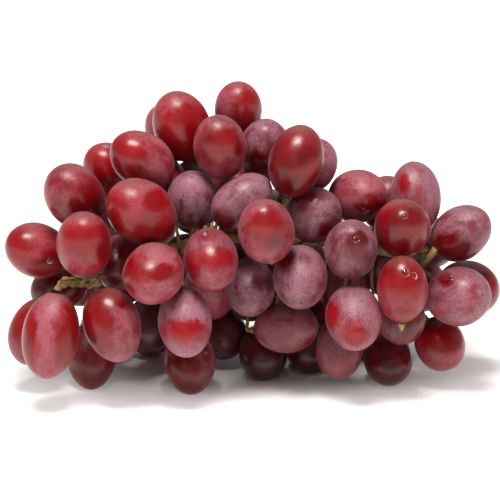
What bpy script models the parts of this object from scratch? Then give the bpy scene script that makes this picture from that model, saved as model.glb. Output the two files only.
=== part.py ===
"""A bunch of red table grapes lying on its side, as whole berries round one branched stem.

Every berry is an ellipsoid about its own stem-to-blossom line. The lists below place the berries
in millimetres, settle() presses them together without overlap, and Stem runs the branched stem
through the gaps to the stem end of each one.
"""

import math
from heapq import heappop, heappush

import bmesh
import bpy
import numpy as np

MM = 0.001
SKIN_GAP = 0.4  # between neighbouring berries, mm
FLOOR_FLAT = 0.5  # how far a resting berry flattens on the surface, mm
FLOOR_CLEAR = 0.8  # least height of a berry that hangs clear, mm
PRESSED = 0.90  # centre distance of berries grown against each other, as a share of touching
FRONT_LIFT = 15  # the front view that turn and face are given in looks down by this, degrees
BERRY_SEGMENTS = 12
BERRY_RINGS = 7
BACK_SEGMENTS = 10
BACK_RINGS = 6

AXIS_RADIUS = 2.3
PEDICEL_RADIUS = 0.75
LATERAL_STEP = 0.22  # radius added by the square root of the berries carried, mm
LATERAL_RADIUS_MAX = 1.5
COLLAR_RADIUS = 1.5  # the swollen end that carries a berry, mm
COLLAR_GAP = 0.35
STEM_SIDES = 5
SIDE_HOLD = 4.0  # how firmly a front berry keeps its place across the front view
DEPTH_HOLD = 0.3  # and how firmly it keeps its depth
BACK_HOLD = 0.3
SLIVER = 2e-6  # edges shorter than this after a union are dissolved, m
MOST_JOIN_TRIES = 6  # times that a branch waits and is tried again, until its union is closed
CELL = 2.0  # spacing of the search for a way through the gaps, mm

# The main axis, from the left tip to the right tip: x, y, z.
AXIS = [
    (-60, -17, 37),
    (-46, -10, 40),
    (-30, -3, 44),
    (-12, 2, 47),
    (6, 3, 48),
    (24, 0, 47),
    (42, -4, 45),
    (58, -9, 43),
]
# The stalk that joined the bunch to the vine, out of the back to its cut end.
STALK = [(6, 3, 48), (9, 10, 54), (13, 19, 58), (15, 29, 60), (15, 41, 61)]
STALK_RADIUS = 2.6
STALK_CUT_RADIUS = 3.4

# Berries seen from the front. x, y, z of the centre, width and length, then the way the blossom
# end points: turn from straight down to the right, and face towards the front, in degrees.
BERRIES = {
    "left_tip": [
        (-71, -17, 48, 18.0, 24.0, -111, 42),
        (-53, -37, 53.6, 18.2, 24.8, 180, 45),
        (-65, -2, 31, 16.2, 21.0, -70, 30),
        (-65, -42, 26, 18.5, 28.7, -9, 0),
        (-72, -21, 21, 17.0, 23.4, -20, 0),
        (-45, -40, 29, 18.5, 25.4, 18, 0),
        (-53.6, -17, 12, 16.4, 23.6, 0, 15),
    ],
    "left_shoulder": [
        (-58, -19, 67, 19.4, 25.8, -150, 47),
        (-46, 1, 71, 16.8, 22.0, -140, 40),
        (-35, -17, 77.5, 18.4, 24.6, -125, 33),
        (-35, -27, 63.5, 20.7, 27.6, -127, 43),
        (-43, -18, 44, 16.6, 22.1, -20, 48),
    ],
    "crown": [
        (-27, 15, 80, 16.8, 22.0, -150, 30),
        (-23, 1, 86, 19.2, 25.8, -160, 30),
        (-10, -19, 83, 17.6, 23.4, -171, 37),
        (-4, 5, 91, 15.9, 21.4, 180, 40),
        (5, -3, 79, 16.4, 21.6, 175, 47),
        (-20, -13, 65.4, 16.9, 22.6, 180, 49),
        (15, -24, 80, 18.0, 24.4, 165, 0),
        (20, -7, 75, 16.5, 21.6, 150, 50),
        (-4, -20, 65.5, 16.6, 23.0, 131, 0),
    ],
    "middle": [
        (5, -37, 60, 18.1, 24.1, -170, 45),
        (21, -18, 60, 18.4, 24.0, 170, 72),
        (36, -7, 64, 18.2, 24.2, 90, 62),
        (33, -31, 52, 17.3, 22.8, 175, 49),
        (16, -32, 43, 18.0, 24.2, 0, 45),
        (0, -20, 36, 16.6, 22.0, 0, 41),
        (-13, -35, 50, 17.6, 23.4, 10, 43),
        (-31, -37, 46, 19.4, 25.4, -25, 65),
    ],
    "right_shoulder": [
        (46, 8, 58, 16.0, 21.0, 160, 40),
        (56, -9, 64, 17.2, 23.8, -175, 0),
        (50, -26, 58, 18.6, 24.6, 180, 72),
        (70, -12, 53, 17.6, 23.4, 127, 37),
    ],
    "right_tip": [
        (49, -37, 40, 16.8, 22.6, 180, 20),
        (69, -24, 34, 19.6, 25.6, 95, 56),
        (74, -4, 31, 19.2, 25.2, 80, 55),
        (34.5, -38, 31, 18.4, 24.6, 5, 42),
        (64, -14, 14.5, 17.0, 21.6, 20, 55),
        (50.5, -20, 25, 16.2, 21.0, 0, 62),
        (47, -12, 9, 16.8, 22.4, 0, 59),
    ],
    "foot": [
        (30, -20, 15, 16.2, 22.6, -5, 27),
        (20, 1, 9, 16.2, 21.4, 0, 54),
        (12, -20, 22, 17.2, 23.0, 95, 27),
        (4, -2, 9, 16.8, 22.4, 0, 55),
        (-21.5, -43, 31, 17.8, 24.2, 5, 28),
        (-20.3, -23, 12, 17.2, 23.6, 5, 29),
        (-9, 8, 11.4, 16.8, 22.4, 0, 62),
        (-34, -2, 18, 16.8, 22.4, 0, 48),
    ],
}
RESTING = {"left_tip": (7,), "right_tip": (7,), "foot": (2, 4, 6)}
# Berries of the back and the core, pressed into clusters: x, y, z, width, length. They point
# away from the main axis.
BACK_CLUSTERS = [
    [(-59, 15, 28, 17.4, 23.0), (-41, 19, 26, 18.4, 24.4)],
    [(-54, 14, 12, 17.6, 23.0), (-35, 20, 10, 18.2, 23.8), (-14, 22, 9, 18.6, 24.4)],
    [(5, 20, 11, 17.4, 22.8), (26, 20, 9, 18.0, 24.0), (45, 14, 10, 17.2, 22.4)],
    [(-25, 25, 29, 18.8, 24.6), (-6, 25, 28, 18.0, 23.4), (14, 27, 28, 18.2, 24.2)],
    [(1, 5, 22, 16.6, 21.4), (-12, 0, 30, 17.0, 22.0)],
    [(33, 25, 28, 18.6, 24.0), (34, 0, 31, 17.0, 22.0), (48, 4, 32, 16.8, 21.8)],
    [(59, 15, 24, 17.6, 22.8), (62, 13, 42, 17.2, 22.6), (45, 19, 41, 17.6, 23.2)],
    [(-52, 16, 52, 18.0, 24.0), (-34, 22, 47, 18.4, 24.2), (-16, 26, 48, 18.0, 23.6)],
    [(-5, 13, 39, 16.4, 21.0), (4, 28, 47, 18.2, 24.2), (24, 26, 49, 18.0, 23.6), (22, 13, 38, 16.2, 21.0)],
    [(-42, 16, 65, 17.4, 22.8), (-20, 17, 72, 18.0, 23.8), (-26.5, 4, 63.5, 17.2, 22.2)],
    [(-8, 6, 62, 16.6, 21.6), (-5, 21, 67, 17.8, 23.4), (14, 18, 67, 17.6, 23.2)],
]

PALE_RED = (0.42, 0.06, 0.09)
DEEP_RED = (0.20, 0.01, 0.03)
BLOOM_ROSE = (0.36, 0.15, 0.21)
STEM_TAN = (0.33, 0.22, 0.07)
GROUP_COLOURS = {
    "left_tip": PALE_RED,
    "left_shoulder": PALE_RED,
    "crown": PALE_RED,
    "middle": BLOOM_ROSE,
    "right_shoulder": PALE_RED,
    "right_tip": BLOOM_ROSE,
    "foot": DEEP_RED,
    "back_cluster": DEEP_RED,
}


def unit(vector):
    return vector / (np.linalg.norm(vector, axis=-1, keepdims=True) + 1e-12)


def facing(turn, face):
    """The way a blossom end points: turn from straight down to the right, face to the front."""
    t, f, lift = (math.radians(angle) for angle in (turn, face, FRONT_LIFT))
    right = math.cos(f) * math.sin(t)
    down = math.cos(f) * math.cos(t)
    front = math.sin(f)
    back = -down * math.sin(lift) - front * math.cos(lift)
    up = -down * math.cos(lift) + front * math.sin(lift)
    return np.array([right, back, up])


def frame_about(direction):
    """Three axes as columns, with the last along the direction."""
    helper = (0.0, 1.0, 0.0) if abs(direction[2]) > 0.9 else (0.0, 0.0, 1.0)
    side = unit(np.cross(direction, helper))
    return np.stack([side, np.cross(direction, side), direction], axis=1)


def sampled(path, step):
    path = np.array(path, float)
    points = [path[0]]
    for start, end in zip(path, path[1:]):
        count = max(1, round(np.linalg.norm(end - start) / step))
        points += [start + (end - start) * k / count for k in range(1, count + 1)]
    return np.array(points)


def berry_list(axis):
    """Name, centre, half sizes and axes of every berry, and which rest, lie at the back or press."""
    names, places, halves, frames, rests, behind, mates = [], [], [], [], [], [], []
    for group, rows in BERRIES.items():
        for number, (x, y, z, width, length, turn, face) in enumerate(rows, 1):
            names.append(f"{group}_berry_{number}")
            places.append((x, y, z))
            halves.append((width / 2, width / 2, length / 2))
            frames.append(frame_about(facing(turn, face)))
            rests.append(number in RESTING.get(group, ()))
            behind.append(False)
    for number, cluster in enumerate(BACK_CLUSTERS, 1):
        mates += [(len(places) + k, len(places) + k + 1) for k in range(len(cluster) - 1)]
        for x, y, z, width, length in cluster:
            place = np.array([x, y, z], float)
            nearest = axis[np.argmin(np.linalg.norm(axis - place, axis=1))]
            names.append(f"back_cluster_{number}")
            places.append(place)
            halves.append((width / 2, width / 2, length / 2))
            frames.append(frame_about(unit(place - nearest)))
            rests.append(z <= 12)
            behind.append(True)
    arrays = (np.array(v) for v in (places, halves, frames, rests, behind))
    return names, *arrays, mates


def contact(centres, shapes, first, second):
    """How far each pair is from touching, as a ratio, with the contact normal and the offset."""
    offset = centres[second] - centres[first]
    best = np.full(len(first), -1.0)
    normal = np.zeros((len(first), 3))
    for share in np.linspace(0.25, 0.75, 11):
        mixed = (1 - share) * shapes[first] + share * shapes[second]
        solved = np.linalg.solve(mixed, offset[..., None])[..., 0]
        value = share * (1 - share) * (offset * solved).sum(1)
        better = value > best
        best[better] = value[better]
        normal[better] = solved[better]
    return np.sqrt(best), unit(normal), offset


def skin_distance(points, centres, frames, halves):
    """Rough distance of every point from every berry's skin, and the way out, as (points, berries)."""
    local = np.einsum("nij,mni->mnj", frames, points[:, None] - centres[None])
    scale = np.sqrt(((local / halves) ** 2).sum(2)) + 1e-9
    outward = unit(local / halves**2)
    distance = (1 - 1 / scale) * (local * outward).sum(2)
    return distance, np.einsum("nij,mnj->mni", frames, outward)


class Bunch:
    def __init__(self, axis):
        found = berry_list(axis)
        self.names, self.places, self.halves, self.frames, self.rests, self.behind, mates = found
        self.centres = self.places.astype(float)
        grown = self.halves + SKIN_GAP / 2
        self.shapes = np.einsum("nij,nj,nkj->nik", self.frames, grown**2, self.frames)
        self.drop = np.sqrt((self.frames[:, 2, :] ** 2 * self.halves**2).sum(1))
        self.first, self.second = np.triu_indices(len(self.centres), 1)
        self.mated = np.zeros(len(self.first), bool)
        for a, b in mates:
            self.mated |= (self.first == a) & (self.second == b)

    def settle(self, posts, radii, owners, steps, keep):
        """Presses the berries apart and clear of the posts, while keep holds them to their places.

        A post is a point of the stem with a radius, and its owner is the berry that it carries.
        """
        yielding = np.where(self.behind, 1.0, 0.35)
        lift = math.radians(FRONT_LIFT)
        sight = np.array([0.0, math.cos(lift), -math.sin(lift)])
        floor = self.drop + np.where(self.rests, -FLOOR_FLAT, FLOOR_CLEAR)
        own = (np.arange(len(owners)), owners)
        for step in range(steps):
            fading = keep * (1 - step / steps) if step < steps * 0.8 else 0.0
            away = self.places - self.centres
            deep = (away @ sight)[:, None] * sight
            front = deep * DEPTH_HOLD + (away - deep) * SIDE_HOLD
            self.centres += np.where(self.behind[:, None], away * BACK_HOLD, front) * fading
            push = np.zeros_like(self.centres)
            reach = np.linalg.norm(self.centres[self.second] - self.centres[self.first], axis=1)
            near = reach < 31
            i, j, mated = self.first[near], self.second[near], self.mated[near]
            ratio, normal, offset = contact(self.centres, self.shapes, i, j)
            need = (np.where(mated, PRESSED, 1.0) / ratio - 1) * (offset * normal).sum(1)
            need = np.where(mated | (need > 0), need, 0.0)[:, None]
            share = (yielding[i] / (yielding[i] + yielding[j]))[:, None]
            np.add.at(push, i, -normal * need * share)
            np.add.at(push, j, normal * need * (1 - share))
            distance, outward = skin_distance(posts, self.centres, self.frames, self.halves)
            distance -= (radii + SKIN_GAP)[:, None]
            mine = owners >= 0
            distance[own[0][mine], own[1][mine]] = 1.0
            worst = distance.argmin(0)
            berries = np.arange(len(self.centres))
            depth = np.minimum(distance[worst, berries], 0.0)
            push += outward[worst, berries] * depth[:, None]
            self.centres += push * 0.55
            height = self.centres[:, 2]
            self.centres[:, 2] = np.where(self.rests, floor, np.maximum(height, floor))

    def stem_end(self, beyond):
        """The points on each berry's own line, this far beyond its stem end."""
        return self.centres - self.frames[:, :, 2] * (self.halves[:, 2] + beyond)[:, None]


def ways_through(bunch, sources):
    """The cheapest way from the main axis to every free cell: cell centres, cost, previous, start."""
    low = np.array([-80.0, -46.0, 4.0])
    count = np.array([80, 44, 46])
    lines = [low[k] + CELL * np.arange(count[k]) for k in range(3)]
    cells = np.stack(np.meshgrid(*lines, indexing="ij"), -1).reshape(-1, 3)
    clear = np.full(len(cells), 99.0)
    for k in range(len(bunch.centres)):
        one = slice(k, k + 1)
        distance, _ = skin_distance(cells, bunch.centres[one], bunch.frames[one], bunch.halves[one])
        clear = np.minimum(clear, distance[:, 0])
    toll = (1 + 2.5 * np.maximum(0, 1.8 - clear) ** 2).tolist()
    corner = np.stack(np.unravel_index(np.arange(len(cells)), count), 1)
    free = (((corner > 0) & (corner < count - 1)).all(1) & (clear > 0.2)).tolist()
    hops = []
    for a in (-1, 0, 1):
        for b in (-1, 0, 1):
            for d in (-1, 0, 1):
                if (a, b, d) != (0, 0, 0):
                    stride = (a * count[1] + b) * count[2] + d
                    hops.append((int(stride), CELL * math.sqrt(a * a + b * b + d * d)))
    cost = [1e9] * len(cells)
    previous = [-1] * len(cells)
    starts = {}
    queue = []
    for number, point in sources:
        a, b, d = np.round((point - low) / CELL).astype(int)
        cell = int((a * count[1] + b) * count[2] + d)
        if free[cell] and cell not in starts:
            starts[cell] = number
            cost[cell] = 0.0
            heappush(queue, (0.0, cell))
    while queue:
        so_far, cell = heappop(queue)
        if so_far > cost[cell]:
            continue
        for stride, length in hops:
            other = cell + stride
            if free[other]:
                total = so_far + length * 0.5 * (toll[cell] + toll[other])
                if total < cost[other]:
                    cost[other] = total
                    previous[other] = cell
                    heappush(queue, (total, other))
    return cells, np.array(cost), previous, starts


class Stem:
    """The branched stem as a tree of points, each with the point that it grows from."""

    def __init__(self, bunch, axis):
        self.axis_count = len(axis)
        self.points = [tuple(point) for point in axis]
        self.before = list(range(-1, len(axis) - 1))
        self.owner = [-1] * len(axis)
        cells, cost, previous, starts = ways_through(bunch, list(enumerate(axis))[2:-2])
        made = dict(starts)
        for berry, end in enumerate(bunch.stem_end(3.2)):
            reach = np.linalg.norm(cells - end, axis=1) * 6 + cost
            cell = int(np.argmin(reach))
            route = []
            while cell not in made:
                route.append(cell)
                cell = previous[cell]
            at = made[cell]
            for cell in reversed(route):
                at = self.add(cells[cell], at, -1)
                made[cell] = at
            self.add(end, at, berry)
        self.points = np.array(self.points, float)
        self.thin_out()
        self.count_berries()

    def add(self, point, before, owner):
        self.points.append(tuple(point))
        self.before.append(before)
        self.owner.append(owner)
        return len(self.points) - 1

    def thin_out(self):
        """Drops every other point between two forks, and numbers the rest again."""
        children = [0] * len(self.before)
        for before in self.before:
            if before >= 0:
                children[before] += 1
        keep = [True] * len(self.before)
        for k, before in enumerate(self.before):
            plain = k >= self.axis_count and self.owner[k] < 0 and children[k] == 1
            keep[k] = not (plain and before >= 0 and keep[before])
        renumbered = {}
        before_kept = []
        for k in range(len(self.before)):
            if keep[k]:
                before = self.before[k]
                while before >= 0 and not keep[before]:
                    before = self.before[before]
                renumbered[k] = len(renumbered)
                before_kept.append(renumbered.get(before, -1))
        self.points = self.points[keep]
        self.owner = [owner for k, owner in enumerate(self.owner) if keep[k]]
        self.before = before_kept

    def count_berries(self):
        """The berries beyond each point, and so its radius."""
        self.carried = [int(owner >= 0) for owner in self.owner]
        for k in range(len(self.before) - 1, self.axis_count - 1, -1):
            self.carried[self.before[k]] += self.carried[k]
        beyond = np.maximum(np.array(self.carried) - 1, 0)
        self.radii = np.minimum(PEDICEL_RADIUS + LATERAL_STEP * np.sqrt(beyond), LATERAL_RADIUS_MAX)
        along = np.linspace(-1, 1, self.axis_count)
        self.radii[: self.axis_count] = AXIS_RADIUS - 0.6 * along**2

    def relax(self, bunch, smooth):
        """Straightens the branches, pushes them out of the berries and follows the stem ends."""
        n = len(self.points)
        total = np.zeros((n, 3))
        links = np.zeros((n, 1))
        for k, before in enumerate(self.before):
            if before >= 0:
                total[k] += self.points[before]
                total[before] += self.points[k]
                links[k] += 1
                links[before] += 1
        free = np.array([k >= self.axis_count and self.owner[k] < 0 for k in range(n)])
        moved = self.points + (total / np.maximum(links, 1) - self.points) * smooth
        distance, outward = skin_distance(moved, bunch.centres, bunch.frames, bunch.halves)
        depth = np.minimum(distance - (self.radii + SKIN_GAP + 0.1)[:, None], 0.0)
        moved -= (outward * depth[..., None]).sum(1) * 0.6
        self.points[free] = moved[free]
        ends = bunch.stem_end(3.2)
        for k, owner in enumerate(self.owner):
            if owner >= 0:
                self.points[k] = ends[owner]

    def posts(self, bunch):
        """Every point of the stem, with points between, for the berries to keep clear of."""
        before = np.array(self.before)
        tail = np.arange(len(before))[before >= 0]
        middle = (self.points[tail] + self.points[before[tail]]) / 2
        collars = bunch.stem_end(1.4)
        points = np.concatenate([self.points, middle, collars])
        radii = np.concatenate([self.radii, self.radii[tail], np.full(len(collars), 1.3)])
        owners = np.array(self.owner)
        owners = np.concatenate([owners, owners[tail], np.arange(len(collars))])
        return points, radii, owners

    def branches(self):
        """Runs of points from a fork to a berry, each going on along the busiest branch."""
        children = {}
        for k, before in enumerate(self.before):
            if k >= self.axis_count:
                children.setdefault(before, []).append(k)
        starts = [(k, child) for k in range(self.axis_count) for child in children.get(k, [])]
        runs = []
        while starts:
            fork, k = starts.pop(0)
            run = [fork, k]
            while children.get(k):
                ranked = sorted(children[k], key=lambda child: -self.carried[child])
                starts += [(k, child) for child in ranked[1:]]
                k = ranked[0]
                run.append(k)
            runs.append(run)
        return runs


def mesh_object(name, vertices, faces, colour):
    mesh = bpy.data.meshes.new(name)
    mesh.from_pydata([tuple(v) for v in np.asarray(vertices) * MM], [], faces)
    obj = bpy.data.objects.new(name, mesh)
    bpy.context.scene.collection.objects.link(obj)
    if colour:
        material = bpy.data.materials.new(name)
        material.use_nodes = True
        shader = material.node_tree.nodes["Principled BSDF"]
        shader.inputs["Base Color"].default_value = (*colour, 1.0)
        shader.inputs["Roughness"].default_value = 0.8 if name == "rachis" else 0.32
        shader.inputs["Metallic"].default_value = 0.0
        mesh.materials.append(material)
    return obj


def ellipsoid(centre, frame, half, segments, rings):
    """Vertices and faces of one berry, with its poles at the stem and blossom ends."""
    points = [(0.0, 0.0, -1.0)]
    for ring in range(1, rings):
        polar = math.pi * ring / rings
        for k in range(segments):
            around = 2 * math.pi * k / segments
            level = math.sin(polar)
            points.append((level * math.cos(around), level * math.sin(around), -math.cos(polar)))
    points.append((0.0, 0.0, 1.0))
    faces = []
    last = len(points) - 1
    for k in range(segments):
        after = (k + 1) % segments
        faces.append((0, 1 + after, 1 + k))
        for ring in range(rings - 2):
            base = 1 + ring * segments
            faces.append((base + k, base + after, base + segments + after, base + segments + k))
        base = 1 + (rings - 2) * segments
        faces.append((base + k, base + after, last))
    return (np.array(points) * half) @ frame.T + centre, faces


def tube(points, radii, sides, spin):
    """Vertices and faces of a closed tube through the points."""
    points = np.asarray(points, float)
    tangents = unit(np.gradient(points, axis=0))
    side = frame_about(tangents[0])[:, 0]
    vertices = []
    for point, tangent, radius in zip(points, tangents, radii):
        side = unit(side - tangent * side.dot(tangent))
        across = np.cross(tangent, side)
        for k in range(sides):
            angle = 2 * math.pi * k / sides + spin
            vertices.append(point + (side * math.cos(angle) + across * math.sin(angle)) * radius)
    faces = []
    for ring in range(len(points) - 1):
        for k in range(sides):
            here, there = ring * sides + k, ring * sides + (k + 1) % sides
            faces.append((here, there, there + sides, here + sides))
    faces.append(tuple(range(sides))[::-1])
    faces.append(tuple(range((len(points) - 1) * sides, len(points) * sides)))
    return vertices, faces


def joined(obj, other):
    """Unions the other object into the first and removes it."""
    modifier = obj.modifiers.new("join", "BOOLEAN")
    modifier.operation = "UNION"
    modifier.solver = "EXACT"
    modifier.object = other
    bpy.context.view_layer.objects.active = obj
    bpy.ops.object.modifier_apply(modifier=modifier.name)
    bpy.data.objects.remove(other)


def cleaned_volume(mesh):
    """Clears the mesh of slivers. Returns its volume if it is one closed body, and otherwise 0."""
    shape = bmesh.new()
    shape.from_mesh(mesh)
    shape.faces.ensure_lookup_table()
    bmesh.ops.dissolve_degenerate(shape, edges=shape.edges, dist=SLIVER)
    shape.to_mesh(mesh)
    shape.faces.ensure_lookup_table()
    closed = all(edge.is_manifold for edge in shape.edges)
    reached = {shape.faces[0]}
    front = [shape.faces[0]]
    while front:
        for edge in front.pop().edges:
            fresh = [face for face in edge.link_faces if face not in reached]
            reached.update(fresh)
            front += fresh
    whole = len(reached) == len(shape.faces)
    volume = shape.calc_volume(signed=True)
    shape.free()
    return volume if closed and whole else 0.0


def flatten_foot(obj):
    """Cuts away what is below the surface, which leaves the flat that a berry rests on."""
    shape = bmesh.new()
    shape.from_mesh(obj.data)
    everything = shape.verts[:] + shape.edges[:] + shape.faces[:]
    cut = bmesh.ops.bisect_plane(
        shape, geom=everything, dist=1e-7, plane_co=(0, 0, 0), plane_no=(0, 0, -1), clear_outer=True
    )
    rim = [item for item in cut["geom_cut"] if isinstance(item, bmesh.types.BMEdge)]
    if rim:
        bmesh.ops.contextual_create(shape, geom=rim)
    bmesh.ops.recalc_face_normals(shape, faces=shape.faces)
    shape.to_mesh(obj.data)
    shape.free()


def build_berries(bunch):
    for k, name in enumerate(bunch.names):
        group = name.split("_berry")[0] if not bunch.behind[k] else "back_cluster"
        detail = (BACK_SEGMENTS, BACK_RINGS) if bunch.behind[k] else (BERRY_SEGMENTS, BERRY_RINGS)
        shape = ellipsoid(bunch.centres[k], bunch.frames[k], bunch.halves[k], *detail)
        if name in bpy.data.objects:
            berry = mesh_object("berry", *shape, None)
            joined(bpy.data.objects[name], berry)
        else:
            mesh_object(name, *shape, GROUP_COLOURS[group])
    for name in sorted(set(bunch.names)):
        flatten_foot(bpy.data.objects[name])


def build_rachis(bunch, stem):
    """One body from the main axis, the stalk and every branch out to the berries."""
    axis = stem.points[: stem.axis_count]
    rachis = mesh_object("rachis", *tube(axis, stem.radii, 8, 0.0), STEM_TAN)
    stalk = sampled(STALK, 6)
    radii = np.linspace(STALK_RADIUS, STALK_CUT_RADIUS, len(stalk))
    joined(rachis, mesh_object("stalk", *tube(stalk, radii, 8, 0.3), None))
    collars = [bunch.stem_end(reach) for reach in (2.1, 1.2, COLLAR_GAP)]
    waiting = [(run, 0) for run in stem.branches()]
    while waiting:
        run, tries = waiting.pop(0)
        owner = stem.owner[run[-1]]
        line = [stem.points[k] for k in run] + [collar[owner] for collar in collars]
        radii = [stem.radii[k] for k in run]
        radii[0] = radii[1]
        radii += [PEDICEL_RADIUS + 0.15, COLLAR_RADIUS, COLLAR_RADIUS]
        before = rachis.data.copy()
        shape = tube(line, radii, STEM_SIDES + tries % 3, 0.37 * owner + 0.19 * tries)
        joined(rachis, mesh_object("branch", *shape, None))
        if cleaned_volume(rachis.data) <= cleaned_volume(before):
            rachis.data = before
            waiting.append((run, tries + 1))
            if tries == MOST_JOIN_TRIES:
                raise RuntimeError(f"no union takes the branch to {bunch.names[owner]}")


def centre_on_origin():
    """Moves every mesh so that the middle of the bunch's underside is the origin."""
    meshes = [obj.data for obj in bpy.data.objects]
    every = np.array([v.co for mesh in meshes for v in mesh.vertices])
    low, high = every.min(0), every.max(0)
    shift = np.array([-(low[0] + high[0]) / 2, -(low[1] + high[1]) / 2, -low[2]])
    for mesh in meshes:
        for vertex in mesh.vertices:
            vertex.co = vertex.co + type(vertex.co)(shift)
    print("shift", shift / MM, "size", (high - low) / MM)


for leftover in list(bpy.data.objects):
    bpy.data.objects.remove(leftover)

main_axis = sampled(AXIS, 3)
the_bunch = Bunch(main_axis)
core_posts = np.concatenate([main_axis, sampled(STALK, 3)])
core_radii = np.full(len(core_posts), AXIS_RADIUS)
core_radii[len(main_axis):] = STALK_CUT_RADIUS
nobody = np.full(len(core_posts), -1)
berry_numbers = np.arange(len(the_bunch.centres))
for _ in range(26):
    the_bunch.settle(
        np.concatenate([core_posts, the_bunch.stem_end(1.6)]),
        np.concatenate([core_radii, np.full(len(berry_numbers), 1.2)]),
        np.concatenate([nobody, berry_numbers]),
        10,
        0.05,
    )
the_stem = Stem(the_bunch, main_axis)
for turn_number in range(70):
    the_stem.relax(the_bunch, 0.35 if turn_number < 45 else 0.06)
    stem_points, stem_radii, stem_owners = the_stem.posts(the_bunch)
    the_bunch.settle(
        np.concatenate([core_posts, stem_points]),
        np.concatenate([core_radii, stem_radii]),
        np.concatenate([nobody, stem_owners]),
        4,
        0.02 if turn_number < 60 else 0.0,
    )
build_berries(the_bunch)
build_rachis(the_bunch, the_stem)
centre_on_origin()
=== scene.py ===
"""A bunch of red table grapes on a white table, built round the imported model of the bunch."""

import math

import bpy
import numpy as np
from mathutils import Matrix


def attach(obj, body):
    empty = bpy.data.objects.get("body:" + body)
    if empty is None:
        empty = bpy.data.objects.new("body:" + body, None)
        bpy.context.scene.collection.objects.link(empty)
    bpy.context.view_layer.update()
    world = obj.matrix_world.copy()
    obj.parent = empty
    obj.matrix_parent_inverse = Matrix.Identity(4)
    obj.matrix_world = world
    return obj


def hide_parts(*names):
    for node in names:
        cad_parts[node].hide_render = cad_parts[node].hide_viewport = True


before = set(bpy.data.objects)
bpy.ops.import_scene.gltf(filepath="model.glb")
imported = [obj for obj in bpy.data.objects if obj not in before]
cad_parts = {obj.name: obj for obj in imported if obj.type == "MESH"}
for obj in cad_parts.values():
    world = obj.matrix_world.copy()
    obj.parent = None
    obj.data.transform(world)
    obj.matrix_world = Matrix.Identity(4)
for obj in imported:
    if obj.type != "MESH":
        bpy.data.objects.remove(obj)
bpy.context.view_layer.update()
bpy.ops.object.select_all(action="DESELECT")


# ---- Grape skin ----------------------------------------------------------------------------
# A thin tight skin over clear red flesh. It wears a dusting of pale wax, the bloom, that is
# thick in some places and rubbed off in others, where the skin is glossy and deep red.


def group_with(name, inputs, outputs):
    """A shader node group with its sockets, and its input and output nodes."""
    group = bpy.data.node_groups.new(name, "ShaderNodeTree")
    for label, kind, value in inputs:
        socket = group.interface.new_socket(label, in_out="INPUT", socket_type=kind)
        socket.default_value = value
    for label, kind in outputs:
        group.interface.new_socket(label, in_out="OUTPUT", socket_type=kind)
    return group, group.nodes.new("NodeGroupInput"), group.nodes.new("NodeGroupOutput")


def wired(tree, kind, settings=(), **links):
    """A node with its settings, whose inputs take values or other nodes' outputs."""
    node = tree.nodes.new(kind)
    for name, value in dict(settings).items():
        setattr(node, name, value)
    for name, value in links.items():
        key = int(name[1:]) if name[0] == "i" and name[1:].isdigit() else name.replace("_", " ")
        if isinstance(value, bpy.types.NodeSocket):
            tree.links.new(value, node.inputs[key])
        else:
            node.inputs[key].default_value = value
    return node


def maths(tree, operation, first, second=0.0, third=0.0, clamp=False):
    """One step of arithmetic on values or other nodes' outputs."""
    settings = {"operation": operation, "use_clamp": clamp}
    return wired(tree, "ShaderNodeMath", settings, i0=first, i1=second, i2=third).outputs[0]


def ramped(tree, value, low, high, out_low=0.0, out_high=1.0):
    """A smooth step of the value from one level to another."""
    node = wired(
        tree,
        "ShaderNodeMapRange",
        {"interpolation_type": "SMOOTHSTEP"},
        Value=value,
        From_Min=low,
        From_Max=high,
        To_Min=out_low,
        To_Max=out_high,
    )
    return node.outputs[0]


def blended(tree, share, first, second):
    """The first colour with a share of the second one mixed in."""
    node = wired(tree, "ShaderNodeMix", {"data_type": "RGBA"}, i0=share, i6=first, i7=second)
    return node.outputs[2]


def noise(tree, place, scale, detail=3.0, roughness=0.55):
    """Cloudy noise from 0 to 1, with its scale in clouds per metre."""
    node = wired(
        tree, "ShaderNodeTexNoise", Vector=place, Scale=scale, Detail=detail, Roughness=roughness
    )
    return node.outputs["Fac"]


STREAK_SHAPE = (3.2, 3.2, 0.8)  # streaks per half width: narrow round a berry, long down it
PORE_SIZES = ((760.0, 0.26), (1500.0, 0.34))  # cells per metre, and a pore's radius in its cell


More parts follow.
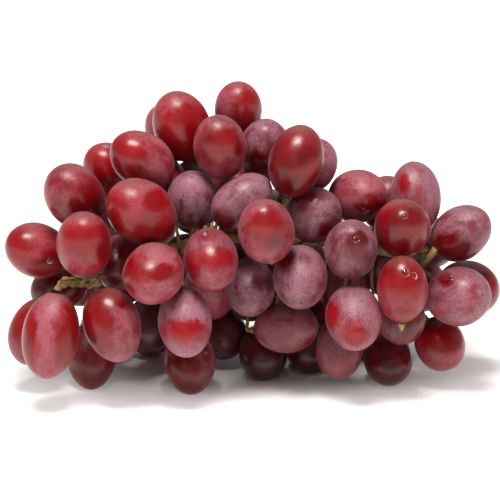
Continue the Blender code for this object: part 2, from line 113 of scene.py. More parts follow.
def wax_bloom():
    """How thick the wax lies, from 0 to 1, with its drifts, wiped streaks and rubbed places."""
    group, given, out = group_with(
        "wax bloom",
        [("Amount", "NodeSocketFloat", 0.5), ("Rubbed", "NodeSocketFloat", 0.0)],
        [("Wax", "NodeSocketFloat"), ("Dust", "NodeSocketFloat")],
    )
    place = group.nodes.new("ShaderNodeTexCoord").outputs["Object"]
    berry = wired(group, "ShaderNodeAttribute", {"attribute_name": "berry"}).outputs["Vector"]
    long_way = wired(group, "ShaderNodeVectorMath", {"operation": "MULTIPLY"}, i0=berry, i1=STREAK_SHAPE)
    streak = noise(group, long_way.outputs[0], scale=1.0, detail=5.0, roughness=0.65)
    drift = noise(group, place, scale=130.0, detail=3.0, roughness=0.5)
    fray = noise(group, place, scale=420.0, detail=4.0, roughness=0.6)
    mottle = noise(group, place, scale=1500.0, detail=3.0, roughness=0.7)
    dust = noise(group, place, scale=4200.0, detail=2.0, roughness=0.6)
    edge = given.outputs["Rubbed"]
    for unevenness, strength in ((fray, 0.7), (drift, 1.9), (streak, 1.3)):
        edge = maths(group, "MULTIPLY_ADD", maths(group, "SUBTRACT", unevenness, 0.5), strength, edge)
    kept = ramped(group, edge, -0.46, 0.26, 1.0, 0.0)
    cloud = ramped(group, maths(group, "ADD", drift, streak), 0.74, 1.26, 0.25, 1.50)
    wax = maths(group, "MULTIPLY", maths(group, "MULTIPLY", given.outputs["Amount"], cloud), kept)
    wax = maths(group, "MULTIPLY", wax, ramped(group, mottle, 0.30, 0.70, 0.50, 1.45))
    wax = maths(group, "MULTIPLY", wax, ramped(group, dust, 0.3, 0.7, 0.75, 1.25), clamp=True)
    group.links.new(wax, out.inputs["Wax"])
    group.links.new(dust, out.inputs["Dust"])
    return group


def skin_pores():
    """The pin-point pores of the skin, large and small, as one mask."""
    group, given, out = group_with(
        "skin pores",
        [("Crowding", "NodeSocketFloat", 0.4)],
        [("Pores", "NodeSocketFloat")],
    )
    place = group.nodes.new("ShaderNodeTexCoord").outputs["Object"]
    gather = ramped(group, noise(group, place, scale=170.0, detail=2.0), 0.42, 0.62, 0.25, 1.5)
    crowd = maths(group, "MULTIPLY", given.outputs["Crowding"], gather)
    masks = []
    for scale, dot_size in PORE_SIZES:
        cells = wired(group, "ShaderNodeTexVoronoi", Vector=place, Scale=scale, Randomness=1.0)
        chosen = group.nodes.new("ShaderNodeSeparateColor")
        group.links.new(cells.outputs["Color"], chosen.inputs[0])
        present = maths(group, "LESS_THAN", chosen.outputs[0], crowd)
        dot = ramped(group, cells.outputs["Distance"], dot_size * 0.55, dot_size, 1.0, 0.0)
        masks.append(maths(group, "MULTIPLY", dot, present))
    group.links.new(maths(group, "MAXIMUM", *masks), out.inputs["Pores"])
    return group


WAX = wax_bloom()
PORES = skin_pores()
PORE_BROWN = (0.05, 0.003, 0.010, 1)
SCAR_BROWN = (0.05, 0.018, 0.010, 1)
SCAR_EDGE = (0.9978, 0.9992)  # along the berry, from 0 at its stem to 1 where its flower was
DIMPLE_OCHRE = (0.10, 0.05, 0.015, 1)
DIMPLE_EDGE = (0.035, 0.0)


def skin_material(name, bright, deep, wax_colour, top_reflection_colour, crowding, sheen):
    """Grape skin. Its skin attribute holds ripeness, wax, rubbed places and a painted grey-brown
    reflection on the berry's top.
    """
    material = bpy.data.materials.new(name)
    material.use_nodes = True
    tree = material.node_tree
    shader = tree.nodes["Principled BSDF"]
    skin = wired(tree, "ShaderNodeAttribute", {"attribute_name": "skin"})
    parts = tree.nodes.new("ShaderNodeSeparateColor")
    tree.links.new(skin.outputs["Color"], parts.inputs[0])
    ripeness, amount, rubbed = parts.outputs
    top_reflection = skin.outputs["Alpha"]
    along = wired(tree, "ShaderNodeAttribute", {"attribute_name": "along"}).outputs["Fac"]
    place = tree.nodes.new("ShaderNodeTexCoord").outputs["Object"]
    rubbed = maths(tree, "MULTIPLY_ADD", rubbed, 2.0, -1.0)
    wax = wired(tree, "ShaderNodeGroup", {"node_tree": WAX}, Amount=amount, Rubbed=rubbed)
    pores = wired(tree, "ShaderNodeGroup", {"node_tree": PORES}, Crowding=crowding).outputs[0]
    tide = maths(tree, "SUBTRACT", noise(tree, place, scale=110.0, detail=4.0, roughness=0.6), 0.5)
    flush = maths(tree, "MULTIPLY_ADD", tide, 1.9, maths(tree, "ADD", ripeness, 0.08), clamp=True)
    colour = blended(tree, flush, (*bright, 1), (*deep, 1))
    colour = blended(tree, wax.outputs["Wax"], colour, (*wax_colour, 1))
    # Painted reflection: a grey-brown tint on each berry's top stands for darker surroundings mirrored at
    # its top edge, broken up by noise.
    top_reflection_breakup = ramped(tree, noise(tree, place, scale=300.0), 0.3, 0.7, 0.50, 0.95)
    colour = blended(tree, maths(tree, "MULTIPLY", top_reflection, top_reflection_breakup), colour, (*top_reflection_colour, 1))
    colour = blended(tree, maths(tree, "MULTIPLY", pores, 0.6), colour, PORE_BROWN)
    colour = blended(tree, ramped(tree, along, *SCAR_EDGE), colour, SCAR_BROWN)
    colour = blended(tree, ramped(tree, along, *DIMPLE_EDGE), colour, DIMPLE_OCHRE)
    tree.links.new(colour, shader.inputs["Base Color"])
    gloss = maths(tree, "MULTIPLY_ADD", wax.outputs["Wax"], 0.24, 0.28)
    gloss = maths(tree, "MULTIPLY_ADD", pores, 0.15, gloss)
    tree.links.new(gloss, shader.inputs["Roughness"])
    grain = noise(tree, place, scale=900.0)
    relief = maths(tree, "MULTIPLY_ADD", wax.outputs["Dust"], 0.3, grain)
    relief = maths(tree, "MULTIPLY_ADD", pores, -0.5, relief)
    bump = wired(tree, "ShaderNodeBump", Strength=0.4, Distance=0.00008, Height=relief)
    tree.links.new(bump.outputs[0], shader.inputs["Normal"])
    shader.inputs["Subsurface Weight"].default_value = 0.2
    shader.inputs["Subsurface Radius"].default_value = (1.0, 0.12, 0.08)
    shader.inputs["Subsurface Scale"].default_value = 0.003
    shader.inputs["IOR"].default_value = 1.48
    shader.inputs["Specular IOR Level"].default_value = 0.45
    shader.inputs["Sheen Weight"].default_value = sheen
    shader.inputs["Sheen Roughness"].default_value = 0.3
    shader.inputs["Sheen Tint"].default_value = (1.0, 0.45, 0.50, 1)
    return material


RED_SKIN = skin_material(
    "red skin",
    bright=(0.29, 0.001, 0.004),
    deep=(0.10, 0.0004, 0.0015),
    wax_colour=(0.34, 0.080, 0.108),
    top_reflection_colour=(0.19, 0.085, 0.072),
    crowding=0.2,
    sheen=0.14,
)
BLOOM_SKIN = skin_material(
    "dusted skin",
    bright=(0.27, 0.0015, 0.006),
    deep=(0.09, 0.0006, 0.0025),
    wax_colour=(0.285, 0.118, 0.158),
    top_reflection_colour=(0.21, 0.105, 0.115),
    crowding=0.5,
    sheen=0.16,
)
# Partly painted shade: a darker maroon skin for berries that lie low in the bunch, in the shade of the
# others.
MAROON_SHADED_SKIN = skin_material(
    "maroon skin with painted shade",
    bright=(0.20, 0.002, 0.005),
    deep=(0.040, 0.0004, 0.0012),
    wax_colour=(0.20, 0.065, 0.08),
    top_reflection_colour=(0.10, 0.04, 0.04),
    crowding=0.3,
    sheen=0.05,
)


# ---- One berry, then every berry -----------------------------------------------------------
# Each berry is a long oval with a shallow dimple round its stem and a small corky scar where
# the flower was. One is shaped here, and each berry of the bunch is its own copy of it.

MM = 0.001
SOLID_RINGS = {12: 7, 10: 6}  # how many rings a solid's berry has, by its sides round
CORNERS_PER_METRE = 1e5  # corners less than 0.01 mm apart are one
EVEN_RING = 0.02 * MM
SAME_BERRY = 0.5 * MM
CAP_EDGE = 0.97  # where a cap begins on the pattern berry, whose ends are at -1 and 1
FRONT_LIFT = math.radians(15)  # a berry's face is what shows from this far above the front
RIGHT = np.array([1.0, 0.0, 0.0])
RISE = np.array([0.0, math.sin(FRONT_LIFT), math.cos(FRONT_LIFT)])
FORWARD = np.array([0.0, -math.cos(FRONT_LIFT), math.sin(FRONT_LIFT)])


def edit_cap(berry, end, steps):
    """Selects the faces at the stem end, -1, or flower end, 1, then runs edit-mode steps on them."""
    for polygon in berry.data.polygons:
        polygon.select = polygon.center.z * end > CAP_EDGE
    bpy.ops.object.mode_set(mode="EDIT")
    for step in steps:
        step()
    bpy.ops.mesh.select_all(action="DESELECT")
    bpy.ops.object.mode_set(mode="OBJECT")


def moved(z):
    """An edit step that moves the cap along the berry."""
    return lambda: bpy.ops.transform.translate(value=(0, 0, z))


def inset(width):
    """An edit step that draws a smaller ring inside the cap."""
    return lambda: bpy.ops.mesh.inset(thickness=width, use_even_offset=False)


bpy.ops.mesh.primitive_uv_sphere_add(segments=20, ring_count=12, radius=1.0)
pattern_berry = bpy.context.object
bpy.ops.object.mode_set(mode="EDIT")
bpy.ops.mesh.select_mode(type="FACE")
bpy.ops.mesh.select_all(action="DESELECT")
bpy.ops.object.mode_set(mode="OBJECT")
stem_dimple = [inset(0.05), moved(0.012), inset(0.09), moved(0.035), inset(0.03)]
flower_scar = [inset(0.16), moved(0.004), inset(0.02), moved(-0.012), inset(0.015), moved(0.01)]
edit_cap(pattern_berry, -1, stem_dimple)
edit_cap(pattern_berry, 1, flower_scar)
smooth = pattern_berry.modifiers.new("round", "SUBSURF")
smooth.levels = 2
smooth.render_levels = 2
bpy.ops.object.modifier_apply(modifier=smooth.name)
bpy.ops.object.shade_smooth()
pattern = np.empty(len(pattern_berry.data.vertices) * 3)
pattern_berry.data.vertices.foreach_get("co", pattern)
pattern = pattern.reshape(-1, 3)
pattern[:, :2] /= np.hypot(pattern[:, 0], pattern[:, 1]).max()
pattern[:, 2] /= np.abs(pattern[:, 2]).max()


def solid_points(node):
    """The node's corners without doubles, and each corner's neighbours."""
    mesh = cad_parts[node].data
    points = np.empty(len(mesh.vertices) * 3)
    mesh.vertices.foreach_get("co", points)
    mesh.calc_loop_triangles()
    corners = np.empty(len(mesh.loop_triangles) * 3, int)
    mesh.loop_triangles.foreach_get("vertices", corners)
    _, first, same = np.unique(
        np.round(points.reshape(-1, 3) * CORNERS_PER_METRE), axis=0, return_index=True, return_inverse=True
    )
    points = points.reshape(-1, 3)[first]
    neighbours = [set() for _ in points]
    for a, b, c in same.reshape(-1)[corners].reshape(-1, 3):
        neighbours[a] |= {b, c}
        neighbours[b] |= {a, c}
        neighbours[c] |= {a, b}
    return points, [sorted(near) for near in neighbours]


stem_points, _ = solid_points("rachis")


def ovals(node):
    """Centre, blossom direction, half width and half length of each berry in a solid.

    A pole of a berry is the one corner with a full even ring of corners round it, and its ring
    gives the whole oval. The stem end is the one next to the collar of the stem.
    """
    points, neighbours = solid_points(node)
    found = []
    for pole, near in zip(points, neighbours):
        rings = SOLID_RINGS.get(len(near))
        reach = np.linalg.norm(points[near] - pole, axis=1)
        if not rings or np.ptp(reach) > EVEN_RING:
            continue
        middle = points[near].mean(0)
        inward = (middle - pole) / np.linalg.norm(middle - pole)
        half_length = np.linalg.norm(middle - pole) / (1 - math.cos(math.pi / rings))
        half_width = np.linalg.norm(points[near] - middle, axis=1).mean() / math.sin(math.pi / rings)
        centre = pole + inward * half_length
        if any(np.linalg.norm(centre - other[0]) < SAME_BERRY for other in found):
            continue
        ends = [centre + sign * inward * half_length for sign in (-1, 1)]
        gaps = [np.linalg.norm(stem_points - end, axis=1).min() for end in ends]
        blossom = inward if gaps[0] < gaps[1] else -inward
        found.append((centre, blossom, half_width, half_length))
    return found


EGG = (-0.035, 0.02)  # below 0 a berry is fuller towards its stem, above 0 towards its scar
TWO_SIDED = 0.012  # how far its sides swell in two places round it, and in three
THREE_SIDED = 0.008
TOP_REFLECTION_FROM = 0.55  # height on a berry, from -1 at its foot to 1 at its top, where the painted reflection on its top begins
STRAY_RUBS = 3
faces = {}


def swollen(half_width, half_length, draw):
    """The pattern's points at a berry's size and upright, swollen unevenly as a real one is."""
    around = np.arctan2(pattern[:, 1], pattern[:, 0]) + draw.uniform(0, 2 * math.pi)
    level = pattern[:, 2]
    egg = draw.uniform(*EGG)
    swell = 1 + egg * level + TWO_SIDED * np.sin(2 * around + draw.uniform(0, 6)) * (1 - level**2)
    swell += THREE_SIDED * np.sin(3 * around + 4 * level + draw.uniform(0, 6)) * (1 - level**2)
    girth = np.hypot(pattern[:, 0], pattern[:, 1])
    return np.stack(
        [
            girth * np.cos(around) * swell * half_width,
            girth * np.sin(around) * swell * half_width,
            level * half_length,
        ],
        axis=1,
    )


def bared(offset, half_width, across, up, out, rubs, draw):
    """How bare of wax each point is, from -1 where it is whole to 1 in a rubbed place."""
    rubbed = np.full(len(offset), -1.0)
    for x, y, width, height in rubs:
        place = 1 - np.hypot((across - x) / width, (up - y) / height)
        rubbed = np.maximum(rubbed, place - np.maximum(0, -out / half_width) * 3)
    for _ in range(STRAY_RUBS):
        way = draw.normal(size=3)
        way /= np.linalg.norm(way)
        near = offset @ way / (half_width * 1.15) - draw.uniform(0.93, 1.08)
        rubbed = np.maximum(rubbed, np.where(out < 0 if rubs else True, near * 3, -1))
    return np.clip(rubbed, -1, 1)


def add_berry(name, node, oval, material, ripeness, wax, rubs, seed):
    """One berry as its own piece. rubs are rubbed places on its front: right, up and half sizes."""
    centre, blossom, half_width, half_length = oval
    draw = np.random.default_rng(seed)
    side = np.cross(blossom, (0.0, 1.0, 0.0) if abs(blossom[2]) > 0.9 else (0.0, 0.0, 1.0))
    side /= np.linalg.norm(side)
    turned = np.stack([side, np.cross(blossom, side), blossom], axis=1)
    local = swollen(half_width, half_length, draw)
    offset = local @ turned.T
    across, up, out = (offset @ axis for axis in (RIGHT, RISE, FORWARD))
    across /= np.abs(across).max()
    up /= np.abs(up).max()
    placed = offset + centre
    placed[:, 2] = np.maximum(placed[:, 2], 0.0)
    outward = local / np.array([half_width, half_width, half_length]) ** 2 @ turned.T
    faces[name] = placed, across, up, out, outward
    mesh = pattern_berry.data.copy()
    mesh.name = name
    mesh.vertices.foreach_set("co", placed.ravel())
    skin = mesh.attributes.new("skin", "FLOAT_COLOR", "POINT")
    values = np.empty((len(offset), 4))
    # Painted shade and light: each berry is painted a deeper red towards its foot, and its wax is made
    # thicker towards its top and thinner at its foot, so its top reads lighter and its foot darker.
    values[:, 0] = ripeness + 0.25 * np.clip(-up, 0, 1)
    values[:, 1] = wax * (0.84 + 0.31 * up)
    values[:, 2] = bared(offset, half_width, across, up, out, rubs, draw) * 0.5 + 0.5
    # Painted reflection: this channel lays the grey-brown reflection tint over the top of each berry.
    values[:, 3] = np.clip((up - TOP_REFLECTION_FROM) / (1 - TOP_REFLECTION_FROM), 0, 1) ** 1.3
    skin.data.foreach_set("color", values.ravel())
    along = mesh.attributes.new("along", "FLOAT", "POINT")
    along.data.foreach_set("value", pattern[:, 2] * 0.5 + 0.5)
    berry_way = mesh.attributes.new("berry", "FLOAT_VECTOR", "POINT")
    berry_way.data.foreach_set("vector", (local / half_width + draw.uniform(-9, 9, 3)).ravel())
    mesh.materials.clear()
    mesh.materials.append(material)
    berry = bpy.data.objects.new(name, mesh)
    bpy.context.scene.collection.objects.link(berry)
    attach(berry, "root")
    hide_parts(node)


# The deeper ripeness and the maroon skin given to berries in the shade of others partly stand for painted
# shade.
def add_group(group, looks, seed):
    """Adds like berries. A look is the skin, how ripe and how waxy it is, and its rubbed places."""
    for number, (material, ripeness, wax, rubs) in enumerate(looks, 1):
        node = f"{group}_berry_{number}"
        oval = ovals(node)[0]
        add_berry(f"{group}_{number}", node, oval, material, ripeness, wax, rubs, seed + number)


# ---- Berries of the left tip ---------------------------------------------------------------
# Seven berries at the left end of the bunch, bright where their wax has been handled off. One
# of them lies on the table and the others hang clear of it.

add_group(
    "left_tip",
    [
        (
            RED_SKIN,
            0.15,
            0.50,
            [(-0.75, 0.0, 0.60, 0.90), (0.50, -0.40, 0.36, 0.36), (0.3, -0.95, 0.8, 0.3)],
        ),
        (RED_SKIN, 0.25, 0.55, [(-0.10, 0.12, 0.80, 0.42), (0.85, -0.10, 0.40, 0.95)]),
        (RED_SKIN, 0.70, 0.30, [(0.0, 0.0, 0.6, 0.5)]),
        (RED_SKIN, 0.30, 1.05, [(0.75, -0.10, 0.50, 0.85), (-0.70, -0.15, 0.26, 0.85)]),
        (RED_SKIN, 0.35, 0.50, [(-0.10, 0.25, 0.80, 0.60)]),
        (RED_SKIN, 0.45, 0.95, [(-0.60, 0.25, 0.70, 1.00), (0.2, 0.75, 0.6, 0.3)]),
        (MAROON_SHADED_SKIN, 0.20, 0.35, [(0.0, -0.7, 0.9, 0.6)]),
    ],
    100,
)

# ---- Berries of the left shoulder ----------------------------------------------------------
# Five berries above the left tip, the largest of the bunch among them. Most of their wax has
# been handled off.

add_group(
    "left_shoulder",
    [
        (
            RED_SKIN,
            0.50,
            0.55,
            [(0.50, -0.15, 0.44, 0.55), (-0.75, -0.25, 0.3, 0.25), (0.1, -0.95, 0.6, 0.3)],
        ),
        (RED_SKIN, 0.05, 0.45, [(-0.1, -0.1, 0.7, 0.7)]),
        (RED_SKIN, 0.30, 1.00, [(-0.60, 0.0, 0.80, 0.90)]),
        (
            RED_SKIN,
            0.15,
            0.60,
            [(0.0, -0.60, 1.1, 0.50), (-0.75, 0.05, 0.4, 0.45), (0.5, 0.30, 0.35, 0.3)],
        ),
        (RED_SKIN, 0.70, 0.30, [(-0.4, 0.2, 0.5, 0.6)]),
    ],
    200,
)

# ---- Berries of the crown ------------------------------------------------------------------
# Nine berries of the top of the bunch, which catch the light from above. Like all the others,
# they have a grey-brown reflection painted on their tops.

add_group(
    "crown",
    [
        (RED_SKIN, 0.15, 0.60, []),
        (RED_SKIN, 0.05, 0.55, [(0.10, -0.55, 1.50, 0.85), (0.45, 0.1, 0.6, 0.5)]),
        (RED_SKIN, 0.55, 0.50, [(0.05, 0.10, 0.75, 0.38)]),
        (RED_SKIN, 0.15, 0.60, [(0.50, -0.10, 0.60, 0.75)]),
        (BLOOM_SKIN, 0.60, 0.85, [(-0.3, -0.6, 0.5, 0.4)]),
        (BLOOM_SKIN, 0.75, 1.25, [(0.0, -0.90, 0.7, 0.30)]),
        (RED_SKIN, 0.65, 0.40, [(0.0, -0.05, 0.95, 0.85)]),
        (BLOOM_SKIN, 0.20, 0.80, [(-0.2, 0.0, 0.3, 0.4)]),
        (BLOOM_SKIN, 0.85, 1.00, [(-0.60, -0.70, 0.55, 0.40)]),
    ],
    300,
)

# ---- Berries of the middle -----------------------------------------------------------------
# Eight berries of the face of the bunch. Little has rubbed against them, so their wax is
# thick.

add_group(
    "middle",
    [
        (RED_SKIN, 0.55, 0.85, [(0.08, 0.05, 0.66, 0.56)]),
        (BLOOM_SKIN, 0.60, 0.85, [(-0.30, 0.78, 0.70, 0.30), (0.6, -0.7, 0.4, 0.4)]),
        (RED_SKIN, 0.45, 1.00, [(0.50, -0.50, 0.55, 0.45)]),
        (BLOOM_SKIN, 0.85, 0.80, [(0.15, 0.15, 0.40, 0.45)]),
        (BLOOM_SKIN, 0.75, 0.85, [(-0.60, 0.65, 0.35, 0.40)]),
        (BLOOM_SKIN, 0.90, 0.75, []),
        (
            BLOOM_SKIN,
            0.20,
            0.60,
            [(-0.10, 0.88, 0.5, 0.25), (-0.85, -0.28, 0.45, 0.45), (0.2, 0.05, 0.6, 0.34)],
        ),
        (RED_SKIN, 0.25, 0.85, [(-0.80, 0.05, 0.45, 0.60), (0.10, 0.05, 0.60, 0.22)]),
    ],
    400,
)

# ---- Berries of the right shoulder ---------------------------------------------------------
# Four berries where the bunch thins out to the right, two of them glossy and two dusted with
# wax.

add_group(
    "right_shoulder",
    [
        (RED_SKIN, 0.60, 0.50, []),
        (BLOOM_SKIN, 0.00, 0.95, [(-0.50, 0.35, 0.25, 0.30)]),
        (RED_SKIN, 0.50, 0.50, [(-0.10, -0.05, 1.15, 0.90)]),
        (BLOOM_SKIN, 0.50, 0.85, [(-0.40, -0.62, 0.80, 0.50)]),
    ],
    500,
)

# ---- Berries of the right tip --------------------------------------------------------------
# Seven berries at the right end, dusted and freckled, with the lowest one on the table.

add_group(
    "right_tip",
    [
        (RED_SKIN, 0.35, 0.75, [(0.0, 0.38, 1.05, 0.72), (0.1, -0.8, 0.6, 0.3)]),
        (BLOOM_SKIN, 0.25, 0.90, [(-0.4, 0.6, 0.25, 0.25)]),
        (RED_SKIN, 0.35, 0.60, [(0.7, 0.2, 0.4, 0.5)]),
        (BLOOM_SKIN, 0.15, 0.85, [(-0.90, 0.10, 0.36, 0.40), (0.0, -0.50, 0.50, 0.24)]),
        (RED_SKIN, 0.35, 0.50, [(0.0, 0.20, 0.80, 0.55)]),
        (MAROON_SHADED_SKIN, 0.60, 1.00, []),
        (MAROON_SHADED_SKIN, 0.50, 0.35, [(0.0, -0.3, 0.7, 0.5)]),
    ],
    600,
)

# ---- Berries of the foot -------------------------------------------------------------------
# Eight berries low in the bunch, three of them lying on the table. Most wear the maroon skin,
# whose darkness is partly painted shade of the others, with one rosy berry in front of them.

add_group(
    "foot",
    [
        (MAROON_SHADED_SKIN, 0.20, 0.85, []),
        (MAROON_SHADED_SKIN, 0.90, 0.25, []),
        (MAROON_SHADED_SKIN, 0.30, 0.95, []),
        (MAROON_SHADED_SKIN, 0.95, 0.20, []),
        (BLOOM_SKIN, 0.00, 1.15, [(0.0, -0.25, 0.85, 0.30)]),
        (RED_SKIN, 0.75, 0.45, [(-0.40, -0.40, 0.80, 0.60)]),
        (MAROON_SHADED_SKIN, 0.70, 0.55, []),
        (MAROON_SHADED_SKIN, 0.95, 0.25, []),
    ],
    700,
)

# ---- Berries of the core and the back ------------------------------------------------------
# The rest of the bunch, pressed together round the stem. Each is a berry of its own, though
# the solids join them two to four at a time.

back_nodes = sorted(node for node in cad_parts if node.startswith("back_cluster"))
for turn, node in enumerate(back_nodes):
    for number, oval in enumerate(ovals(node), 1):
        shade = 0.15 + 0.17 * ((turn * 3 + number * 2) % 5)
        dusting = 0.45 + 0.12 * ((turn + number * 3) % 5)
        skin = RED_SKIN if (turn + number) % 2 else BLOOM_SKIN
        seed = 800 + 10 * turn + number
        add_berry(f"{node}_{number}", node, oval, skin, shade, dusting, [], seed)

bpy.data.objects.remove(pattern_berry)


# ---- The stem ------------------------------------------------------------------------------
# The branched woody stem that the berries grew on: olive to tan, ridged along its branches,
# with brown corky joints and a swollen collar under each berry.

STEM_TAN = (0.34, 0.205, 0.070, 1)
STEM_OLIVE = (0.10, 0.070, 0.018, 1)
STEM_CORK = (0.12, 0.055, 0.020, 1)
STEM_FIBRE = (0.46, 0.32, 0.13, 1)

stem_skin = bpy.data.materials.new("stem skin")
stem_skin.use_nodes = True
tree = stem_skin.node_tree
shader = tree.nodes["Principled BSDF"]
place = tree.nodes.new("ShaderNodeTexCoord").outputs["Object"]
patches = noise(tree, place, scale=240.0, detail=4.0, roughness=0.6)
fibres = noise(tree, place, scale=1400.0, detail=4.0, roughness=0.7)
colour = blended(tree, ramped(tree, patches, 0.36, 0.64), STEM_TAN, STEM_OLIVE)
corky = maths(tree, "MULTIPLY", ramped(tree, patches, 0.55, 0.72), ramped(tree, fibres, 0.35, 0.6))
colour = blended(tree, maths(tree, "MULTIPLY", corky, 0.8), colour, STEM_CORK)
colour = blended(tree, ramped(tree, fibres, 0.55, 0.75, 0.0, 0.45), colour, STEM_FIBRE)
tree.links.new(colour, shader.inputs["Base Color"])
tree.links.new(ramped(tree, fibres, 0.3, 0.7, 0.55, 0.85), shader.inputs["Roughness"])
relief = wired(tree, "ShaderNodeBump", Strength=0.7, Distance=0.0003, Height=fibres)
tree.links.new(relief.outputs[0], shader.inputs["Normal"])
shader.inputs["Subsurface Weight"].default_value = 0.08
shader.inputs["Subsurface Scale"].default_value = 0.001

rachis_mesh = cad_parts["rachis"].data.copy()
rachis = bpy.data.objects.new("grape_stem", rachis_mesh)
bpy.context.scene.collection.objects.link(rachis)
bpy.context.view_layer.objects.active = rachis
rachis.select_set(True)
bpy.ops.object.mode_set(mode="EDIT")
bpy.ops.mesh.select_all(action="SELECT")
bpy.ops.mesh.remove_doubles(threshold=0.01 * MM)
bpy.ops.object.mode_set(mode="OBJECT")
skin_net = rachis.modifiers.new("even skin", "REMESH")
skin_net.mode = "VOXEL"
skin_net.voxel_size = 0.4 * MM
bpy.ops.object.modifier_apply(modifier=skin_net.name)
easing = rachis.modifiers.new("ease", "SMOOTH")
easing.factor = 0.5
easing.iterations = 4
bpy.ops.object.modifier_apply(modifier=easing.name)
bpy.ops.object.shade_smooth()
rachis_mesh.materials.clear()
rachis_mesh.materials.append(stem_skin)
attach(rachis, "root")
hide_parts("rachis")
rachis.select_set(False)


# ---- Knots and stubs of the stem -----------------------------------------------------------
# The thicker woody lengths that show between the berries: the knot where the stem ends at the
# left, a stub whose berry has dropped off, and the branch end that shows at the right.

KNOBBLE = bpy.data.textures.new("knobbles", "CLOUDS")
KNOBBLE.noise_scale = 2.2 * MM


def stem_length(name, start, radius, steps, roughen):
    """A length of stem, in millimetres: a ring drawn out by each step, and swollen by its last number."""
    place = np.array(start) * MM
    way = np.array(steps[0][:3], float)
    tilt = (0.0, math.acos(way[2] / np.linalg.norm(way)), math.atan2(way[1], way[0]))
    bpy.ops.mesh.primitive_circle_add(
        vertices=10, radius=radius * MM, fill_type="NGON", location=place, rotation=tilt
    )
    length = bpy.context.object
    length.name = name
    bpy.ops.object.mode_set(mode="EDIT")
    bpy.ops.mesh.select_all(action="SELECT")
    for x, y, z, swelling in steps:
        step = np.array([x, y, z]) * MM
        place = place + step
        bpy.ops.mesh.extrude_region_move(TRANSFORM_OT_translate={"value": tuple(step)})
        bpy.ops.transform.resize(value=(swelling, swelling, swelling), center_override=tuple(place))
    bpy.ops.mesh.select_all(action="SELECT")
    bpy.ops.mesh.normals_make_consistent(inside=False)
    bpy.ops.object.mode_set(mode="OBJECT")
    bpy.ops.object.transform_apply(location=True, rotation=True, scale=True)
    rounded = length.modifiers.new("round", "SUBSURF")
    rounded.levels = 3
    rounded.render_levels = 3
    knobbly = length.modifiers.new("knobbly", "DISPLACE")
    knobbly.texture = KNOBBLE
    knobbly.texture_coords = "LOCAL"
    knobbly.strength = roughen * MM
    knobbly.mid_level = 0.5
    for modifier in (rounded.name, knobbly.name):
        bpy.ops.object.modifier_apply(modifier=modifier)
    bpy.ops.object.shade_smooth()
    length.data.materials.clear()
    length.data.materials.append(stem_skin)
    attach(length, "root")
    length.select_set(False)


stem_length(
    "stem_knot_left",
    (-64.6, -14.5, 38.2),
    1.2,
    [(0.4, 0.2, -0.1, 1.65), (1.1, 0.5, -0.2, 1.15), (1.0, 0.5, -0.2, 0.66), (0.8, 0.4, -0.2, 1.2),
     (0.9, 0.5, -0.2, 0.85), (1.6, 0.8, -0.3, 1.05), (2.0, 0.9, -0.3, 1.0), (3.0, 0.9, -0.4, 0.9)],
    1.1,
)
stem_length(
    "stem_stub_left",
    (-50.6, -14.6, 38.0),
    0.55,
    [(-0.3, 0.2, -0.2, 1.5), (-0.6, 0.5, -0.4, 0.7), (-1.2, 1.0, -0.8, 0.85), (-1.6, 1.2, -0.9, 1.25),
     (-1.8, 1.2, -0.8, 1.1)],
    0.4,
)
stem_length(
    "stem_end_right",
    (60.6, -8.0, 47.6),
    1.0,
    [(-0.4, -0.1, -0.4, 1.45), (-0.9, -0.2, -1.0, 0.9), (-1.6, -0.3, -1.9, 0.92), (-1.6, -0.1, -2.0, 1.05),
     (-1.5, 0.6, -2.0, 1.0), (-1.3, 1.2, -1.9, 0.9)],
    0.6,
)


# ---- Drops of water ------------------------------------------------------------------------
# Clear beads left on the skins when the bunch was rinsed. They are shallow domes that hold to
# the wax, and some have run a little way down.

DROP_FOOT = -0.1  # both are shares of a drop's radius
DROP_HEIGHT = 0.45

water = bpy.data.materials.new("clear water")
water.use_nodes = True
tree = water.node_tree
shader = tree.nodes["Principled BSDF"]
shader.inputs["Base Color"].default_value = (1.0, 0.97, 0.97, 1)
shader.inputs["Transmission Weight"].default_value = 1.0
shader.inputs["Roughness"].default_value = 0.03
shader.inputs["IOR"].default_value = 1.33
place = tree.nodes.new("ShaderNodeTexCoord").outputs["Object"]
swirl = noise(tree, place, scale=700.0, detail=1.0)
ripple = wired(tree, "ShaderNodeBump", Strength=0.15, Distance=0.0001, Height=swirl)
tree.links.new(ripple.outputs[0], shader.inputs["Normal"])

bpy.ops.mesh.primitive_uv_sphere_add(segments=16, ring_count=10, radius=1.0)
pattern_drop = bpy.context.object
bpy.ops.object.mode_set(mode="EDIT")
bpy.ops.mesh.select_all(action="SELECT")
bpy.ops.mesh.bisect(plane_co=(0, 0, DROP_FOOT), plane_no=(0, 0, 1), clear_inner=True, use_fill=True)
bpy.ops.mesh.select_all(action="SELECT")
bpy.ops.transform.resize(value=(1.0, 1.0, DROP_HEIGHT), center_override=(0, 0, 0))
bpy.ops.object.mode_set(mode="OBJECT")
domed = pattern_drop.modifiers.new("dome", "SUBSURF")
domed.levels = 1
domed.render_levels = 1
bpy.ops.object.modifier_apply(modifier=domed.name)
bpy.ops.object.shade_smooth()
bead = np.empty(len(pattern_drop.data.vertices) * 3)
pattern_drop.data.vertices.foreach_get("co", bead)
bead = bead.reshape(-1, 3)

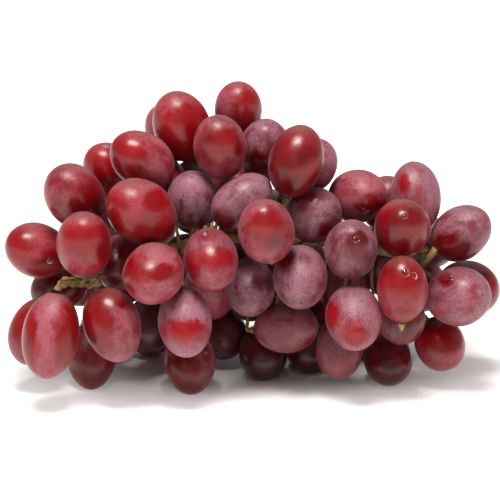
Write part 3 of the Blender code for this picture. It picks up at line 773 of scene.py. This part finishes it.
DROPS = [  # berry, right and up on its face, radius in mm, how long it has run
    ("left_shoulder_2", -0.10, 0.80, 1.1, 1.0),
    ("left_tip_1", 0.48, -0.36, 1.3, 1.1),
    ("middle_7", -0.20, 0.78, 1.4, 1.15),
    ("middle_3", 0.12, -0.35, 1.1, 1.3),
    ("crown_8", 0.25, 0.30, 0.9, 1.2),
    ("middle_2", -0.70, 0.42, 1.0, 1.1),
    ("right_tip_1", 0.05, 0.52, 1.5, 1.1),
    ("right_tip_1", 0.42, 0.42, 1.0, 1.3),
    ("right_tip_2", -0.30, 0.60, 1.4, 1.25),
    ("middle_4", 0.15, 0.35, 1.2, 1.1),
    ("foot_6", 0.62, 0.30, 0.9, 1.2),
]
for number, (berry, right, high, size, run) in enumerate(DROPS, 1):
    placed, across, up, out, outward = faces[berry]
    behind = np.where(out > 0, 0.0, 9.0)
    spot = np.argmin(np.hypot(across - right, up - high) + behind)
    normal = outward[spot] / np.linalg.norm(outward[spot])
    level = np.cross(normal, (0.0, 0.0, 1.0))
    level /= np.linalg.norm(level)
    axes = np.stack([level, np.cross(level, normal) * run, normal])
    mesh = pattern_drop.data.copy()
    mesh.name = f"water_drop_{number}"
    mesh.vertices.foreach_set("co", (placed[spot] + bead * size * MM @ axes).ravel())
    mesh.materials.append(water)
    drop = bpy.data.objects.new(f"water_drop_{number}", mesh)
    bpy.context.scene.collection.objects.link(drop)
    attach(drop, "root")

bpy.data.objects.remove(pattern_drop)


# ---- Table, light and camera ---------------------------------------------------------------
# A white table under a large soft light from above, with white walls all round. The table's
# glow is painted light that runs it into the white of the room away from the bunch; under the
# bunch the glow is left out, which paints a shadow there.

PAINTED_SHADOW_EDGE = (0.022, 0.058)  # metres from the middle of the painted shadow under the bunch
FAR_GLOW = (0.10, 0.60)

bpy.ops.mesh.primitive_plane_add(size=6.0, location=(0, 0, 0))
table = bpy.context.object
table.name = "table"
white = bpy.data.materials.new("white table")
white.use_nodes = True
tree = white.node_tree
board = tree.nodes["Principled BSDF"]
board.inputs["Base Color"].default_value = (0.90, 0.885, 0.87, 1)
board.inputs["Roughness"].default_value = 0.55
board.inputs["Emission Color"].default_value = (1, 1, 1, 1)
place = tree.nodes.new("ShaderNodeTexCoord").outputs["Object"]
drawn_in = wired(
    tree,
    "ShaderNodeVectorMath",
    {"operation": "MULTIPLY_ADD"},
    i0=place,
    i1=(0.5, 1, 1),  # the painted shadow is twice as long as it is deep
    i2=(0, -0.020, 0),  # and lies a little behind the middle of the bunch
)
spread = wired(tree, "ShaderNodeVectorMath", {"operation": "LENGTH"}, i0=drawn_in.outputs[0])
# Painted shadow: no glow under the bunch, rising to half strength round it; farther off, more painted glow
# keeps the table white.
near = ramped(tree, spread.outputs["Value"], *PAINTED_SHADOW_EDGE, out_high=0.5)
far = ramped(tree, spread.outputs["Value"], *FAR_GLOW, out_high=0.5)
tree.links.new(maths(tree, "ADD", near, far), board.inputs["Emission Strength"])
table.data.materials.append(white)

room = bpy.data.worlds.new("white room")
room.use_nodes = True
walls = room.node_tree.nodes["Background"]
walls.inputs["Color"].default_value = (1.0, 0.995, 0.985, 1)
walls.inputs["Strength"].default_value = 0.34
bpy.context.scene.world = room

LIT_POINT = (0, 0, 0.04)


def soft_light(name, place, size, power, colour):
    """A rectangular light, size across and deep in metres, turned to the middle of the bunch."""
    light = bpy.data.lights.new(name, "AREA")
    light.shape = "RECTANGLE"
    light.size, light.size_y = size
    light.energy = power
    light.color = colour
    lamp = bpy.data.objects.new(name, light)
    bpy.context.scene.collection.objects.link(lamp)
    lamp.location = place
    way = np.array(LIT_POINT) - np.array(place)
    lamp.rotation_euler = (
        math.atan2(math.hypot(way[0], way[1]), -way[2]),
        0.0,
        math.atan2(-way[0], way[1]),
    )


soft_light("top light", (-0.06, -0.27, 0.76), size=(0.32, 0.22), power=7.7, colour=(1.0, 0.98, 0.95))
soft_light("front fill", (-0.25, -1.1, 0.55), size=(0.9, 0.6), power=0.5, colour=(1.0, 0.99, 0.98))

AIM = np.array([-0.0017, 0.0057, 0.0436])
CAMERA_DISTANCE = 0.85
long_lens = bpy.data.cameras.new("camera")
long_lens.lens = 180.0
long_lens.sensor_width = 36.0
long_lens.clip_start = 0.05
camera = bpy.data.objects.new("camera", long_lens)
bpy.context.scene.collection.objects.link(camera)
camera.location = AIM + FORWARD * CAMERA_DISTANCE
camera.rotation_euler = (math.pi / 2 - FRONT_LIFT, 0.0, 0.0)
bpy.context.scene.camera = camera
bpy.context.scene.view_settings.view_transform = "Standard"
